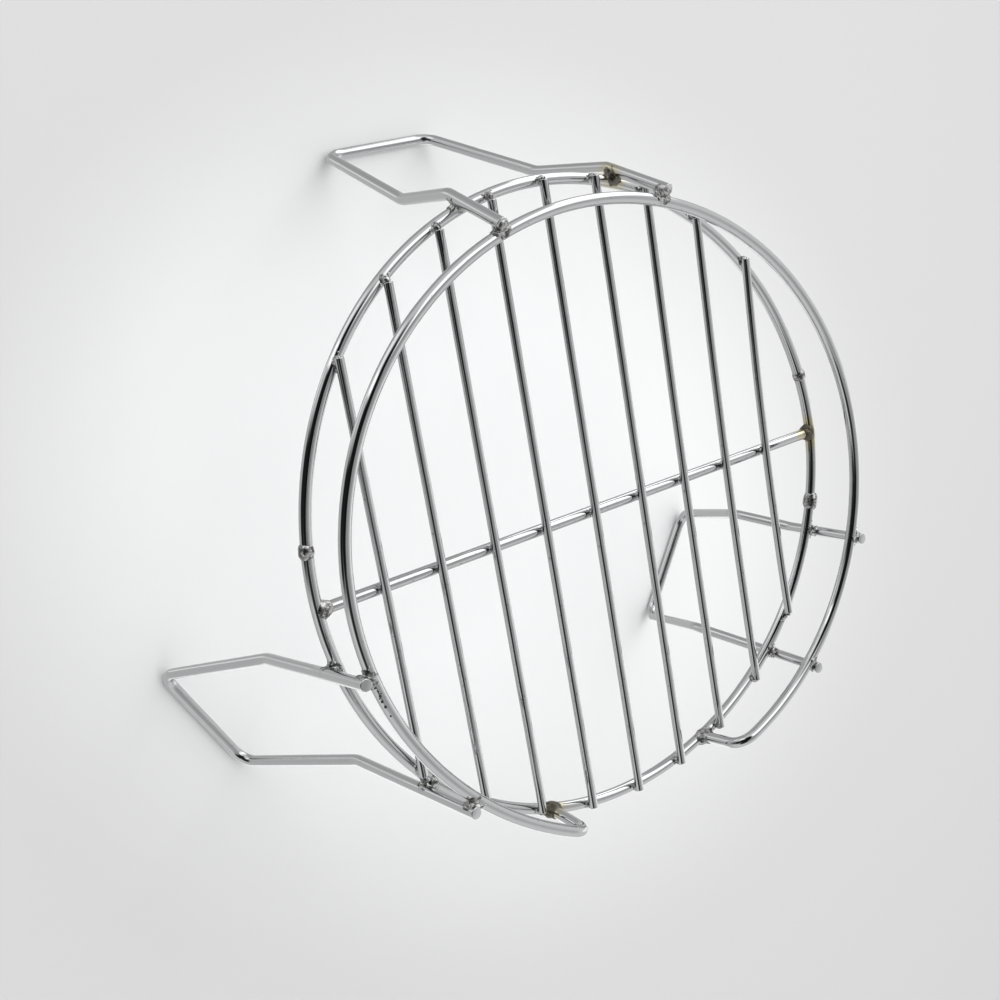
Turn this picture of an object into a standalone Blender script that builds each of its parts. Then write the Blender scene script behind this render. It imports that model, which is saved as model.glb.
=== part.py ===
"""Round wire pot stand: a ring platform of nine bars, a guard rail open at the front, three bent-wire legs.

Frame: metres, +Z up, floor at z = 0, origin on the floor under the middle of the overall box.
The grid bars run along Y, the crossbar along X, and the open front of the guard rail faces -Y.
The functions below work from the middle of the platform ring, and the last one moves everything over.
"""

import math

import bmesh
import bpy
import numpy as np
from mathutils import Matrix, Vector

MM = 0.001

# Wire sizes. Every wire is round stock with flat cut ends.
WIRE_R = 2.5 * MM  # rings, crossbar and legs are 5 mm wire
BAR_R = 1.9 * MM  # the grid bars are 3.8 mm wire
GAP = 0.3 * MM  # clearance kept wherever two pieces touch
SIDES = 12

# Middle of the overall box, seen from the middle of the platform ring
BOX_MIDDLE_X = -5.95 * MM
BOX_MIDDLE_Y = 13.565 * MM

# Platform ring, formed by hand, so slightly oval and three-lobed, and pushed out where the crossbar ends.
PLATFORM_R = 137.1 * MM
PLATFORM_OVAL = -1.2 * MM
PLATFORM_LOBES = 0.9 * MM
PLATFORM_LOBE_TURN = 26.0
PLATFORM_BULGE = 0.6 * MM
BULGE_BEARING = -3.0
BULGE_WIDTH = 13.0
FOOT_DROP = 119.5 * MM  # platform ring centre down to foot bar centre
FOOT_CENTRE_Z = WIRE_R * math.cos(math.pi / SIDES)
PLATFORM_Z = FOOT_CENTRE_Z + FOOT_DROP

# Guard rail above the platform ring, a little smaller and set towards the open front.
GUARD_R = 133.4 * MM
GUARD_RISE = 28.4 * MM
GUARD_SHIFT_X = 0.6 * MM
GUARD_SHIFT_Y = -3.9 * MM
GUARD_OVAL_LONG = 2.5 * MM
GUARD_OVAL_SKEW = -1.6 * MM
GUARD_SPLAY_LEFT = 4.8 * MM
GUARD_SPLAY_RIGHT = -2.7 * MM
SPLAY_STARTS = 115.0  # degrees either side of the back where the last stretch starts
GUARD_BEND_R = 8.0 * MM
GUARD_END_RIGHT = -71.5  # bearing of each end, degrees from +X
GUARD_END_LEFT = 249.4
GUARD_FOOT_R = 137.0 * MM  # radius at which the ends stand on the platform ring
GUARD_Z = PLATFORM_Z + GUARD_RISE

# Grid of parallel bars lying on the ring and on the crossbar.
BAR_COUNT = 9
BAR_PITCH = 26.65 * MM
BAR_SHIFT = -1.4 * MM
BAR_END_R = 137.8 * MM
BAR_SHORT_BACK = {1: -2.4, 4: 1.0, 8: 4.2, 9: 3.0}  # millimetres cut off the back end of these bars
BAR_SHORT_FRONT = {2: 3.6, 3: 0.9, 9: 1.4}
BAR_BOW = {7: -1.0, 8: -1.5, 9: -2.0}  # sideways bow at mid length, millimetres
BAR_Z = PLATFORM_Z + WIRE_R + BAR_R + GAP
CROSSBAR_Y = -4.9 * MM

# Legs: bearing, half width at the top, ring, knee and foot, then radius at knee and foot, height of the
# upper bend and of the knee from the platform ring's centre, height of the cut ends above the guard rail's
# centre, and sideways lean. Lengths in millimetres, angles in degrees.
LEG_BEND_R = 8.0 * MM
LEG_KNEE_R = 16.0 * MM
LEG_LEAN_PIVOT = -60.0  # a leaning leg turns about this height from the platform ring's centre
LEG_FOOT_R = 8.0 * MM
LEGS = {
    "leg_back": (91.0, 41.7, 40.6, 35.8, 27.9, 139.7, 163.5, -2.6, -46.5, 4.4, 0.0),
    "leg_front_left": (206.9, 37.9, 35.5, 33.2, 30.5, 141.1, 169.2, -9.0, -50.3, 4.6, 0.0),
    "leg_front_right": (325.3, 32.6, 32.0, 31.3, 31.4, 133.0, 163.8, -15.0, -48.8, 2.9, 1.0),
}

# Weld beads
CROSSING_BEAD = (3.5 * MM, 4.3 * MM, 4.1 * MM)  # across the joint, along the ring, along the arm
COLLAR_BEAD = (4.1 * MM, 4.1 * MM, 2.9 * MM)
SPLICES = {  # bearing and half sizes (radial, along the ring, upward), then how far the lump sits outward
    "splice_weld_left": (172.0, 3.35, 3.4, 3.3, 0.5),
    "splice_weld_right_back": (10.0, 3.3, 2.6, 3.2, 0.9),
    "splice_weld_right_front": (-16.3, 3.3, 2.7, 3.3, 0.7),
}


def clear_scene():
    for obj in list(bpy.data.objects):
        bpy.data.objects.remove(obj)


def plated(name, colour, roughness):
    """One Principled material for one piece."""
    mat = bpy.data.materials.new(name)
    mat.use_nodes = True
    shader = mat.node_tree.nodes["Principled BSDF"]
    shader.inputs["Base Color"].default_value = (*colour, 1.0)
    shader.inputs["Metallic"].default_value = 1.0
    shader.inputs["Roughness"].default_value = roughness
    return mat


def object_from(bm, name, mat):
    mesh = bpy.data.meshes.new(name)
    bm.to_mesh(mesh)
    bm.free()
    mesh.materials.append(mat)
    obj = bpy.data.objects.new(name, mesh)
    bpy.context.scene.collection.objects.link(obj)
    return obj


def unit(vector):
    return vector / np.linalg.norm(vector)


def turn(vector, axis, angle):
    """Rodrigues' rotation of a vector about a unit axis."""
    along = axis * float(vector @ axis)
    return along + (vector - along) * math.cos(angle) + np.cross(axis, vector) * math.sin(angle)


def rounded(points, radii, step=math.radians(12.0)):
    """The centreline of a wire bent at each inner point with the given bend radius."""
    points = [np.array(p, float) for p in points]
    line = [points[0]]
    for before, corner, after, radius in zip(points, points[1:], points[2:], radii):
        back = unit(before - corner)
        ahead = unit(after - corner)
        bend = math.pi - math.acos(max(-1.0, min(1.0, float(back @ ahead))))
        if bend < math.radians(1.0):
            line.append(corner)
            continue
        tangent = radius * math.tan(bend / 2)
        centre = corner + unit(back + ahead) * radius / math.cos(bend / 2)
        axis = unit(np.cross(-back, ahead))
        start = corner + back * tangent - centre
        count = max(2, math.ceil(bend / step))
        for k in range(count + 1):
            line.append(centre + turn(start, axis, bend * k / count))
    line.append(points[-1])
    return line


def frames(path, closed):
    """Tangents and normals carried along the path without twist, starting from +Z or +X."""
    count = len(path)
    steps = [unit(path[(i + 1) % count] - path[i]) for i in range(count if closed else count - 1)]
    if closed:
        tangents = [unit(steps[i - 1] + steps[i]) for i in range(count)]
    else:
        tangents = [steps[0]] + [unit(a + b) for a, b in zip(steps, steps[1:])] + [steps[-1]]
    seed = np.array([0.0, 0.0, 1.0])
    if abs(tangents[0] @ seed) > 0.8:
        seed = np.array([1.0, 0.0, 0.0])
    normals = [unit(seed - tangents[0] * (seed @ tangents[0]))]
    for before, after in zip(tangents, tangents[1:]):
        axis = np.cross(before, after)
        size = np.linalg.norm(axis)
        carried = normals[-1]
        if size > 1e-9:
            carried = turn(carried, axis / size, math.asin(min(1.0, size)))
        normals.append(unit(carried - after * (carried @ after)))
    return tangents, normals


def wire(name, path, radius, mat, closed=False, flat_down_at=0):
    """A round wire along a centreline, with a facet facing straight down at the given point of it."""
    path = [np.array(p, float) for p in path]
    tangents, normals = frames(path, closed)
    down = np.array([0.0, 0.0, -1.0])
    here = flat_down_at
    down = unit(down - tangents[here] * (down @ tangents[here]))
    side = np.cross(tangents[here], normals[here])
    twist = math.atan2(float(down @ side), float(down @ normals[here]))
    bm = bmesh.new()
    rings = []
    count = len(path)
    for i, (point, tangent, normal) in enumerate(zip(path, tangents, normals)):
        side = np.cross(tangent, normal)
        stretch = 1.0
        across = normal
        if closed or 0 < i < count - 1:
            leg = unit(path[(i + 1) % count] - point)
            half = math.acos(max(-1.0, min(1.0, float(leg @ tangent))))
            stretch = 1.0 / math.cos(half)
            bend_axis = np.cross(tangent, leg)
            size = np.linalg.norm(bend_axis)
            across = np.cross(bend_axis / size, tangent) if size > 1e-9 else normal
        ring = []
        for k in range(SIDES):
            angle = twist + math.tau * (k + 0.5) / SIDES
            offset = (normal * math.cos(angle) + side * math.sin(angle)) * radius
            offset = offset + across * float(offset @ across) * (stretch - 1.0)
            ring.append(bm.verts.new(point + offset))
        rings.append(ring)
    pairs = list(zip(rings, rings[1:]))
    if closed:
        pairs.append((rings[-1], rings[0]))
    for first, second in pairs:
        for k in range(SIDES):
            after = (k + 1) % SIDES
            face = bm.faces.new((first[k], first[after], second[after], second[k]))
            face.smooth = True
    if not closed:
        bm.faces.new(list(reversed(rings[0])))
        bm.faces.new(rings[-1])
    bmesh.ops.recalc_face_normals(bm, faces=bm.faces)
    return object_from(bm, name, mat)


def platform_radius(bearing):
    theta = math.radians(bearing)
    lobes = PLATFORM_OVAL * math.sin(2 * theta)
    lobes += PLATFORM_LOBES * math.cos(3 * theta + math.radians(PLATFORM_LOBE_TURN))
    away = (bearing - BULGE_BEARING + 180.0) % 360.0 - 180.0
    return PLATFORM_R + lobes + PLATFORM_BULGE * math.exp(-((away / BULGE_WIDTH) ** 2))


def guard_radius(bearing):
    theta = math.radians(bearing)
    radius = GUARD_R + GUARD_SHIFT_X * math.cos(theta) + GUARD_SHIFT_Y * math.sin(theta)
    radius += GUARD_OVAL_LONG * math.cos(2 * theta) + GUARD_OVAL_SKEW * math.sin(2 * theta)
    from_back = (bearing - 90.0 + 180.0) % 360.0 - 180.0
    late = max(0.0, (abs(from_back) - SPLAY_STARTS) / 46.0)
    return radius + (GUARD_SPLAY_LEFT if from_back > 0 else GUARD_SPLAY_RIGHT) * late * late


def polar(bearing, radius, z):
    theta = math.radians(bearing)
    return np.array([radius * math.cos(theta), radius * math.sin(theta), z])


def platform_point(bearing):
    return polar(bearing, platform_radius(bearing), PLATFORM_Z)


def ring_tangent(point_at, bearing):
    return unit(point_at(bearing + 0.5) - point_at(bearing - 0.5))


def guard_point(bearing):
    return polar(bearing, guard_radius(bearing), GUARD_Z)


def basis(axes):
    """Rotation that takes local X, Y, Z onto the three given directions."""
    return Matrix([[float(axes[c][r]) for c in range(3)] for r in range(3)])


def square_axes(x_axis, y_axis):
    x_axis = unit(x_axis)
    z_axis = unit(np.cross(x_axis, y_axis))
    return x_axis, np.cross(z_axis, x_axis), z_axis


def bead(name, centre, sizes, axes, cuts):
    """A weld bead: an ellipsoid with the wires it sits on cut clear, each cut a point, direction and radius."""
    bm = bmesh.new()
    bmesh.ops.create_uvsphere(bm, u_segments=12, v_segments=8, radius=1.0)
    bmesh.ops.rotate(bm, verts=bm.verts, matrix=Matrix.Rotation(math.radians(7.0), 3, "Z"))
    bmesh.ops.scale(bm, vec=Vector(sizes), verts=bm.verts)
    for face in bm.faces:
        face.smooth = True
    obj = object_from(bm, name, plated(name + "_weld", (0.30, 0.30, 0.29), 0.38))
    turned = basis(axes)
    obj.location = Vector(centre)
    obj.rotation_euler = turned.to_euler()
    for number, (point, direction, radius) in enumerate(cuts):
        cm = bmesh.new()
        bmesh.ops.create_cone(
            cm, cap_ends=True, segments=16, radius1=radius, radius2=radius, depth=30.0 * MM
        )
        cutter = bpy.data.objects.new(
            "%s_cut_%d" % (name, number), bpy.data.meshes.new("%s_cut_%d" % (name, number))
        )
        cm.to_mesh(cutter.data)
        cm.free()
        bpy.context.scene.collection.objects.link(cutter)
        cutter.location = Vector(point)
        cutter.rotation_euler = Vector(direction).to_track_quat("Z", "Y").to_euler()
        cutter.hide_render = True
        cutter.display_type = "WIRE"
        cut = obj.modifiers.new("clear_of_wire_%d" % number, "BOOLEAN")
        cut.operation = "DIFFERENCE"
        cut.solver = "EXACT"
        cut.object = cutter
    return obj


def clear_radius(radius):
    """Cutter radius whose flats still clear a wire of this radius by the gap."""
    return (radius + GAP) / math.cos(math.pi / 16)


def nearest_between(point_a, along_a, point_b, along_b):
    """The closest points of two straight lines."""
    gap = point_a - point_b
    aa, ab, bb = along_a @ along_a, along_a @ along_b, along_b @ along_b
    ag, bg = along_a @ gap, along_b @ gap
    scale = aa * bb - ab * ab
    return point_a + along_a * (ab * bg - bb * ag) / scale, point_b + along_b * (aa * bg - ab * ag) / scale


def build_rings():
    bearings = np.arange(84) * 360.0 / 84
    loop = [platform_point(b) - polar(0, 0, PLATFORM_Z) for b in bearings]
    ring = wire("platform_ring", loop, WIRE_R, plated("platform_ring_plating", (0.62, 0.62, 0.61), 0.16), True)
    ring.location = (0, 0, PLATFORM_Z)

    count = 78
    span = GUARD_END_LEFT - GUARD_END_RIGHT
    bend_turn = math.degrees(GUARD_BEND_R / GUARD_R) + 0.6
    plan = [guard_point(GUARD_END_RIGHT)]
    plan += [guard_point(GUARD_END_RIGHT + bend_turn + (span - 2 * bend_turn) * k / count) for k in range(count + 1)]
    plan += [guard_point(GUARD_END_LEFT)]
    low = PLATFORM_Z + WIRE_R + GAP
    right = [polar(GUARD_END_RIGHT, GUARD_FOOT_R, low), plan[0], plan[1]]
    left = [plan[-2], plan[-1], polar(GUARD_END_LEFT, GUARD_FOOT_R, low)]
    line = rounded(right, [GUARD_BEND_R])[:-1] + plan[1:-1] + rounded(left, [GUARD_BEND_R])[1:]
    line = [p - polar(0, 0, GUARD_Z) for p in line]
    rail = wire("guard_rail", line, WIRE_R, plated("guard_rail_plating", (0.64, 0.64, 0.63), 0.15), False, 40)
    rail.location = (0, 0, GUARD_Z)

    for side, bearing in (("right", GUARD_END_RIGHT), ("left", GUARD_END_LEFT)):
        foot = polar(bearing, GUARD_FOOT_R, low)
        top = guard_point(bearing)
        along = unit(top - foot)
        tangent = ring_tangent(platform_point, bearing)
        axes = square_axes(tangent, np.cross(along, tangent))
        centre = foot - along * 0.4 * MM
        cuts = [
            (platform_point(bearing), tangent, clear_radius(WIRE_R)),
            (foot + along * 13.9 * MM, along, clear_radius(WIRE_R)),
        ]
        bead("guard_end_weld_" + side, centre, COLLAR_BEAD, axes, cuts)


def crossbar_reach(sign):
    """X at which the platform ring's centreline meets the crossbar's line."""
    bearing = 0.0 if sign > 0 else 180.0
    for _ in range(20):
        radius = platform_radius(bearing)
        bearing = math.degrees(math.asin(CROSSBAR_Y / radius))
        bearing = bearing if sign > 0 else 180.0 - bearing
    return platform_radius(bearing) * math.cos(math.radians(bearing)), bearing


def build_grid():
    ends = {}
    for side, sign in (("left", -1), ("right", 1)):
        reach, bearing = crossbar_reach(sign)
        inner = reach - sign * (WIRE_R + GAP)
        ends[side] = inner
        tangent = ring_tangent(platform_point, bearing)
        axes = (np.array([0.0, 1.0, 0.0]), np.array([0.0, 0.0, 1.0]), np.array([1.0, 0.0, 0.0]))
        cuts = [
            (np.array([reach, CROSSBAR_Y, PLATFORM_Z]), tangent, clear_radius(WIRE_R)),
            (np.array([inner - sign * 13.9 * MM, CROSSBAR_Y, PLATFORM_Z]), axes[2], clear_radius(WIRE_R)),
        ]
        middle = np.array([inner + sign * 0.4 * MM, CROSSBAR_Y, PLATFORM_Z])
        sizes = (COLLAR_BEAD[0], 3.7 * MM, COLLAR_BEAD[2])
        bead("crossbar_weld_" + side, middle, sizes, axes, cuts)
    half = (ends["right"] - ends["left"]) / 2
    bar = wire(
        "crossbar", [(-half, 0, 0), (half, 0, 0)], WIRE_R, plated("crossbar_plating", (0.58, 0.58, 0.57), 0.20)
    )
    bar.location = ((ends["right"] + ends["left"]) / 2, CROSSBAR_Y, PLATFORM_Z)

    for number in range(1, BAR_COUNT + 1):
        x = BAR_SHIFT + (number - (BAR_COUNT + 1) / 2) * BAR_PITCH
        reach = math.sqrt(BAR_END_R**2 - x**2)
        back = reach - BAR_SHORT_BACK.get(number, 0.0) * MM
        front = reach - BAR_SHORT_FRONT.get(number, 0.0) * MM
        half = (back + front) / 2
        bow = BAR_BOW.get(number, 0.0) * MM
        steps = 10 if bow else 1
        stations = [2.0 * k / steps - 1.0 for k in range(steps + 1)]
        name = "grid_bar_%d" % number
        line = [(bow * (1.0 - s * s), half * s, 0) for s in stations]
        bar = wire(name, line, BAR_R, plated(name + "_plating", (0.60, 0.60, 0.59), 0.17))
        bar.location = (x, (back - front) / 2, BAR_Z)


def leg_arm(values, side):
    """The four points of one arm in the leg's own frame: cut end, upper bend, knee and foot corner."""
    bearing, half_top, half_ring, half_knee, half_foot, knee_r, foot_r, bend_z, knee_z, rise, tip = values
    slide = math.tan(math.radians(tip))
    lean = 0.0
    for _ in range(6):
        offset = (2 * WIRE_R + GAP) / math.cos(lean)
        low_y = side * half_ring * MM + slide * LEG_LEAN_PIVOT * MM
        high_y = side * half_top * MM + slide * (LEG_LEAN_PIVOT * MM - GUARD_RISE)
        low_turn = math.degrees(math.asin(low_y / PLATFORM_R))
        low_out = platform_radius(bearing + low_turn) + offset
        low_x = math.sqrt(low_out**2 - low_y**2)
        high_turn = math.degrees(math.asin(high_y / GUARD_R))
        high_out = guard_radius(bearing + high_turn) + offset
        high_x = math.sqrt(high_out**2 - high_y**2)
        lean = math.atan2(abs(high_x - low_x), GUARD_RISE)
    low = np.array([low_x, low_y, PLATFORM_Z])
    high = np.array([high_x, high_y, GUARD_Z])
    slope = (high - low) / GUARD_RISE
    end = high + slope * rise * MM
    bend = low + slope * bend_z * MM
    knee_y = side * half_knee * MM + slide * (LEG_LEAN_PIVOT - knee_z) * MM
    knee = np.array([knee_r * MM, knee_y, PLATFORM_Z + knee_z * MM])
    foot_y = side * half_foot * MM + slide * (LEG_LEAN_PIVOT * MM + FOOT_DROP)
    foot = np.array([foot_r * MM, foot_y, FOOT_CENTRE_Z])
    return [end, bend, knee, foot], low, high


def build_legs():
    for name, values in LEGS.items():
        bearing = values[0]
        first, low_a, high_a = leg_arm(values, -1)
        second, low_b, high_b = leg_arm(values, 1)
        corners = first + second[::-1]
        radii = [LEG_BEND_R, LEG_KNEE_R, LEG_FOOT_R, LEG_FOOT_R, LEG_KNEE_R, LEG_BEND_R]
        line = rounded(corners, radii)
        heights = [p[2] for p in line]
        foot = [i for i, z in enumerate(heights) if z < FOOT_CENTRE_Z + 1e-6]
        leg = wire(name, line, WIRE_R, plated(name + "_plating", (0.61, 0.61, 0.60), 0.18), False, foot[0])
        leg.rotation_euler = (0, 0, math.radians(bearing))

        spin = np.array(Matrix.Rotation(math.radians(bearing), 3, "Z"))
        arms = (("right" if side < 0 else "left", low, high, arm) for side, low, high, arm in (
            (-1, low_a, high_a, first), (1, low_b, high_b, second)))
        for arm_name, low, high, arm in arms:
            low, high = spin @ low, spin @ high
            along = unit(high - low)
            for level, point, point_at in (("platform", low, platform_point), ("guard", high, guard_point)):
                at = math.degrees(math.atan2(point[1], point[0])) % 360.0
                tangent = ring_tangent(point_at, at)
                on_ring, on_arm = nearest_between(point_at(at), tangent, point, along)
                across = unit(on_arm - on_ring)
                axes = square_axes(across, tangent)
                sizes = CROSSING_BEAD
                if level == "guard":
                    sizes = (CROSSING_BEAD[0], CROSSING_BEAD[1], 3.7 * MM)
                cuts = [
                    (on_ring, tangent, clear_radius(WIRE_R)),
                    (on_arm, along, clear_radius(WIRE_R)),
                ]
                label = "%s_%s_weld_%s" % (name, level, arm_name)
                bead(label, (on_ring + on_arm) / 2, sizes, axes, cuts)


def build_splices():
    for name, (bearing, radial, length, upward, outward) in SPLICES.items():
        centre = platform_point(bearing)
        out = polar(bearing, 1.0, 0.0)
        tangent = ring_tangent(platform_point, bearing)
        axes = square_axes(out, tangent)
        sizes = (radial * MM, length * MM, upward * MM)
        cuts = [(centre, tangent, clear_radius(WIRE_R))]
        bead(name, centre + out * outward * MM, sizes, axes, cuts)


def move_over_box():
    """Bring the middle of the overall box over the origin, moving the cutters with the beads they cut."""
    for obj in bpy.data.objects:
        obj.location.x -= BOX_MIDDLE_X
        obj.location.y -= BOX_MIDDLE_Y


clear_scene()
build_rings()
build_grid()
build_legs()
build_splices()
move_over_box()
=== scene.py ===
import math

import bpy
import numpy as np
from mathutils import Matrix, Vector


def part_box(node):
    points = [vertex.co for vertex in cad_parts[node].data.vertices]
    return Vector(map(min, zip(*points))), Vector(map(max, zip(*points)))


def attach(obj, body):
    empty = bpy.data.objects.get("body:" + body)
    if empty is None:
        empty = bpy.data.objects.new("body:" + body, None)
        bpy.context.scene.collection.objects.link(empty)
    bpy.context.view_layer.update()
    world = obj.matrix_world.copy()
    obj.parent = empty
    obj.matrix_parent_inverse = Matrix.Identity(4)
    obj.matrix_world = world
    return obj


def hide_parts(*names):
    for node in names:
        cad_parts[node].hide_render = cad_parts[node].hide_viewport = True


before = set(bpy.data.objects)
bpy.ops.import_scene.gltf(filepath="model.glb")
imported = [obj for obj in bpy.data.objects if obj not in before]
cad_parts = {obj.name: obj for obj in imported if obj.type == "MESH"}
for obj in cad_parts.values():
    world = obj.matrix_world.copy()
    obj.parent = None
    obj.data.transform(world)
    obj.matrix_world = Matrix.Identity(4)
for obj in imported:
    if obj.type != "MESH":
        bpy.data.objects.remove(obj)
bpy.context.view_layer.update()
MM = 0.001

# %% [markdown]
# ## The camera
# The stand is seen from above its left side with the camera rolled by about a quarter turn, so that it looks
# tipped up on its rim. A camera is easiest to keep when it is written as three facts: where it is, the point
# it aims at and how far it is rolled about the line between the two.
# %% Camera
CAMERA_AT = Vector((-0.3261, 0.1362, 0.5713))
CAMERA_AIM = Vector((-0.0398, -0.0001, 0.1219))
CAMERA_ROLL = math.radians(101.25)
CAMERA_LENS = 47.72
camera = bpy.data.objects.new("camera", bpy.data.cameras.new("camera"))
camera.data.lens = CAMERA_LENS
camera.data.clip_start = 0.01
unrolled = (CAMERA_AIM - CAMERA_AT).to_track_quat("-Z", "Y").to_matrix()
turned = (unrolled @ Matrix.Rotation(CAMERA_ROLL, 3, "Z")).to_4x4()
camera.matrix_world = Matrix.Translation(CAMERA_AT) @ turned
bpy.context.scene.collection.objects.link(camera)
bpy.context.scene.camera = camera
bpy.context.scene.view_settings.view_transform = "Standard"
print("camera is", round((CAMERA_AIM - CAMERA_AT).length, 3), "m from its aim")

# %% [markdown]
# ## Sizes read from the frame
# Wire thickness and heights come from the boxes of the CAD pieces, so they can't drift apart from the model.
# The CAD wires are twelve-sided with a flat on top, so half a box's height is the wire's radius times the
# cosine of 15 degrees. The rings' middle lies a little right of the middle bar and behind the crossbar.
# %% Sizes from the frame
FLAT = math.cos(math.pi / 12)
GAP = 0.3 * MM
PLATFORM_R = 137.1 * MM
GUARD_R = 133.4 * MM
RIGHT_OF_BAR, BEHIND_CROSSBAR = 1.4 * MM, 4.9 * MM


def box_of(node):
    """Lowest and highest corner of a CAD piece as numpy arrays."""
    return tuple(np.array(corner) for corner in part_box(node))


bar_low, bar_high = box_of("grid_bar_5")
cross_low, cross_high = box_of("crossbar")
WIRE_R = (cross_high[2] - cross_low[2]) / 2 / FLAT
BAR_R = (bar_high[2] - bar_low[2]) / 2 / FLAT
PLATFORM_Z = (cross_high[2] + cross_low[2]) / 2
GUARD_Z = box_of("guard_rail")[1][2] - WIRE_R * FLAT
FOOT_Z = WIRE_R * FLAT
CROSSBAR_Y = (cross_low[1] + cross_high[1]) / 2
MIDDLE = np.array([(bar_low[0] + bar_high[0]) / 2 + RIGHT_OF_BAR, CROSSBAR_Y + BEHIND_CROSSBAR, 0.0])
print("wire radius", round(WIRE_R / MM, 3), "bar radius", round(BAR_R / MM, 3), "rings at",
      round(PLATFORM_Z / MM, 2), round(GUARD_Z / MM, 2))

# %% [markdown]
# ## Bending a wire on paper
# A wire bender thinks of straight lengths joined by round bends. `bent` does the same: it takes corner points
# and gives a line in which every inner corner is an arc. The line is then read off at even steps with
# `stations`, closer together at the cut ends, where the edge of the cut has to be round.
# %% Lines
CUT_ROUND = 0.35 * MM
ARC_STEP = 0.04  # radians


def unit(vectors):
    """Each vector divided by its own length."""
    return vectors / np.linalg.norm(vectors, axis=-1, keepdims=True)


def bent(corners, radii):
    """Straight lengths with an arc at each inner corner: centre + cos(angle) * spoke - sin(angle) * radius *
    back, where back points from the corner to the one before it."""
    corners = np.asarray(corners, float)
    line = [corners[:1]]
    for before, corner, after, radius in zip(corners, corners[1:], corners[2:], radii):
        back, ahead = unit(before - corner), unit(after - corner)
        bend = math.pi - math.acos(float(np.clip(back @ ahead, -1, 1)))
        centre = corner + unit(back + ahead) * radius / math.cos(bend / 2)
        spoke = corner + back * radius * math.tan(bend / 2) - centre
        angle = np.linspace(0, bend, max(6, int(bend / ARC_STEP)))[:, None]
        line.append(centre + np.cos(angle) * spoke - np.sin(angle) * back * radius)
    line.append(corners[-1:])
    return np.concatenate(line)


def length_along(line):
    """Distance from the first point to each point, measured along the line."""
    return np.concatenate([[0.0], np.cumsum(np.linalg.norm(np.diff(line, axis=0), axis=1))])


def stations(line, spacing):
    """The line read off at even steps, with five closer ones over the rounding of each cut end."""
    run = length_along(line)
    near = CUT_ROUND * np.array([0.0, 0.12, 0.35, 0.7, 1.0])
    middle = np.linspace(CUT_ROUND * 1.6, run[-1] - CUT_ROUND * 1.6, max(4, int(run[-1] / spacing)))
    at = np.concatenate([near, middle, run[-1] - near[::-1]])
    return np.stack([np.interp(at, run, line[:, axis]) for axis in range(3)], axis=1), at


print("a right-angle bend of 8 mm has", len(bent([(0, 0, 0), (1, 0, 0), (1, 1, 0)], [0.008])), "points")

# %% [markdown]
# ## The skin of a wire
# A wire's skin is a function of two parameters: how far along the wire a point is, and at what angle around
# it. Curves with a bevel would do, but they give no control over the cut ends, dents and slight waviness that
# make drawn wire look real. Each skin also keeps where its points would lie if the wire were straightened
# out, so that drawing marks can run along it.
# %% Wire skins
WAVE_HEIGHT = 0.012 * MM
WAVE_REPEAT = 0.31  # metres


def sweep(path, guide, radius, sides, closed=False):
    """point(s, a) = path(s) + radius(s, a) * (cos a * normal + sin a * binormal); normal = guide without its
    part along the wire."""
    if closed:
        along = unit(np.roll(path, -1, axis=0) - np.roll(path, 1, axis=0))
    else:
        along = unit(np.gradient(path, axis=0))
    normal = unit(guide - along * np.sum(guide * along, axis=1, keepdims=True))
    binormal = np.cross(along, normal)
    angle = np.arange(sides) * math.tau / sides
    ring = np.cos(angle)[None, :, None] * normal[:, None] + np.sin(angle)[None, :, None] * binormal[:, None]
    return path[:, None] + ring * radius[..., None]


def skin(name, grid, closed=False, flip=False):
    """A mesh over a grid of points: quads between neighbours, and at each open end a fan of triangles round
    one point in the middle."""
    rows, columns = grid.shape[:2]
    index = np.arange(rows * columns).reshape(rows, columns)
    side = np.roll(index, -1, axis=1)
    first, second = (index, np.roll(index, -1, axis=0)) if closed else (index[:-1], index[1:])
    first_side, second_side = (side, np.roll(side, -1, axis=0)) if closed else (side[:-1], side[1:])
    quads = np.stack([first, first_side, second_side, second], axis=-1).reshape(-1, 4)
    points = grid.reshape(-1, 3)
    fans = np.zeros((0, 3), int)
    if not closed:
        poles = np.stack([grid[0].mean(axis=0), grid[-1].mean(axis=0)])
        points = np.concatenate([points, poles])
        start = np.stack([np.full(columns, rows * columns), side[0], index[0]], axis=-1)
        end = np.stack([np.full(columns, rows * columns + 1), index[-1], side[-1]], axis=-1)
        fans = np.concatenate([start, end])
    if flip:
        quads, fans = quads[:, ::-1], fans[:, ::-1]
    mesh = bpy.data.meshes.new(name)
    corners = np.concatenate([quads.ravel(), fans.ravel()])
    totals = np.concatenate([np.full(len(quads), 4), np.full(len(fans), 3)])
    mesh.vertices.add(len(points))
    mesh.vertices.foreach_set("co", points.astype(np.float32).ravel())
    mesh.loops.add(len(corners))
    mesh.loops.foreach_set("vertex_index", corners.astype(np.int32))
    mesh.polygons.add(len(totals))
    mesh.polygons.foreach_set("loop_start", (np.cumsum(totals) - totals).astype(np.int32))
    mesh.update(calc_edges=True)
    mesh.shade_smooth()
    made = bpy.data.objects.new(name, mesh)
    bpy.context.scene.collection.objects.link(made)
    return made


def keep(mesh, name, kind, values):
    """Store one value or vector per point of a mesh, for its material to read."""
    field = "value" if kind == "FLOAT" else "vector"
    mesh.attributes.new(name, kind, "POINT").data.foreach_set(field, np.asarray(values, np.float32).ravel())


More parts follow.
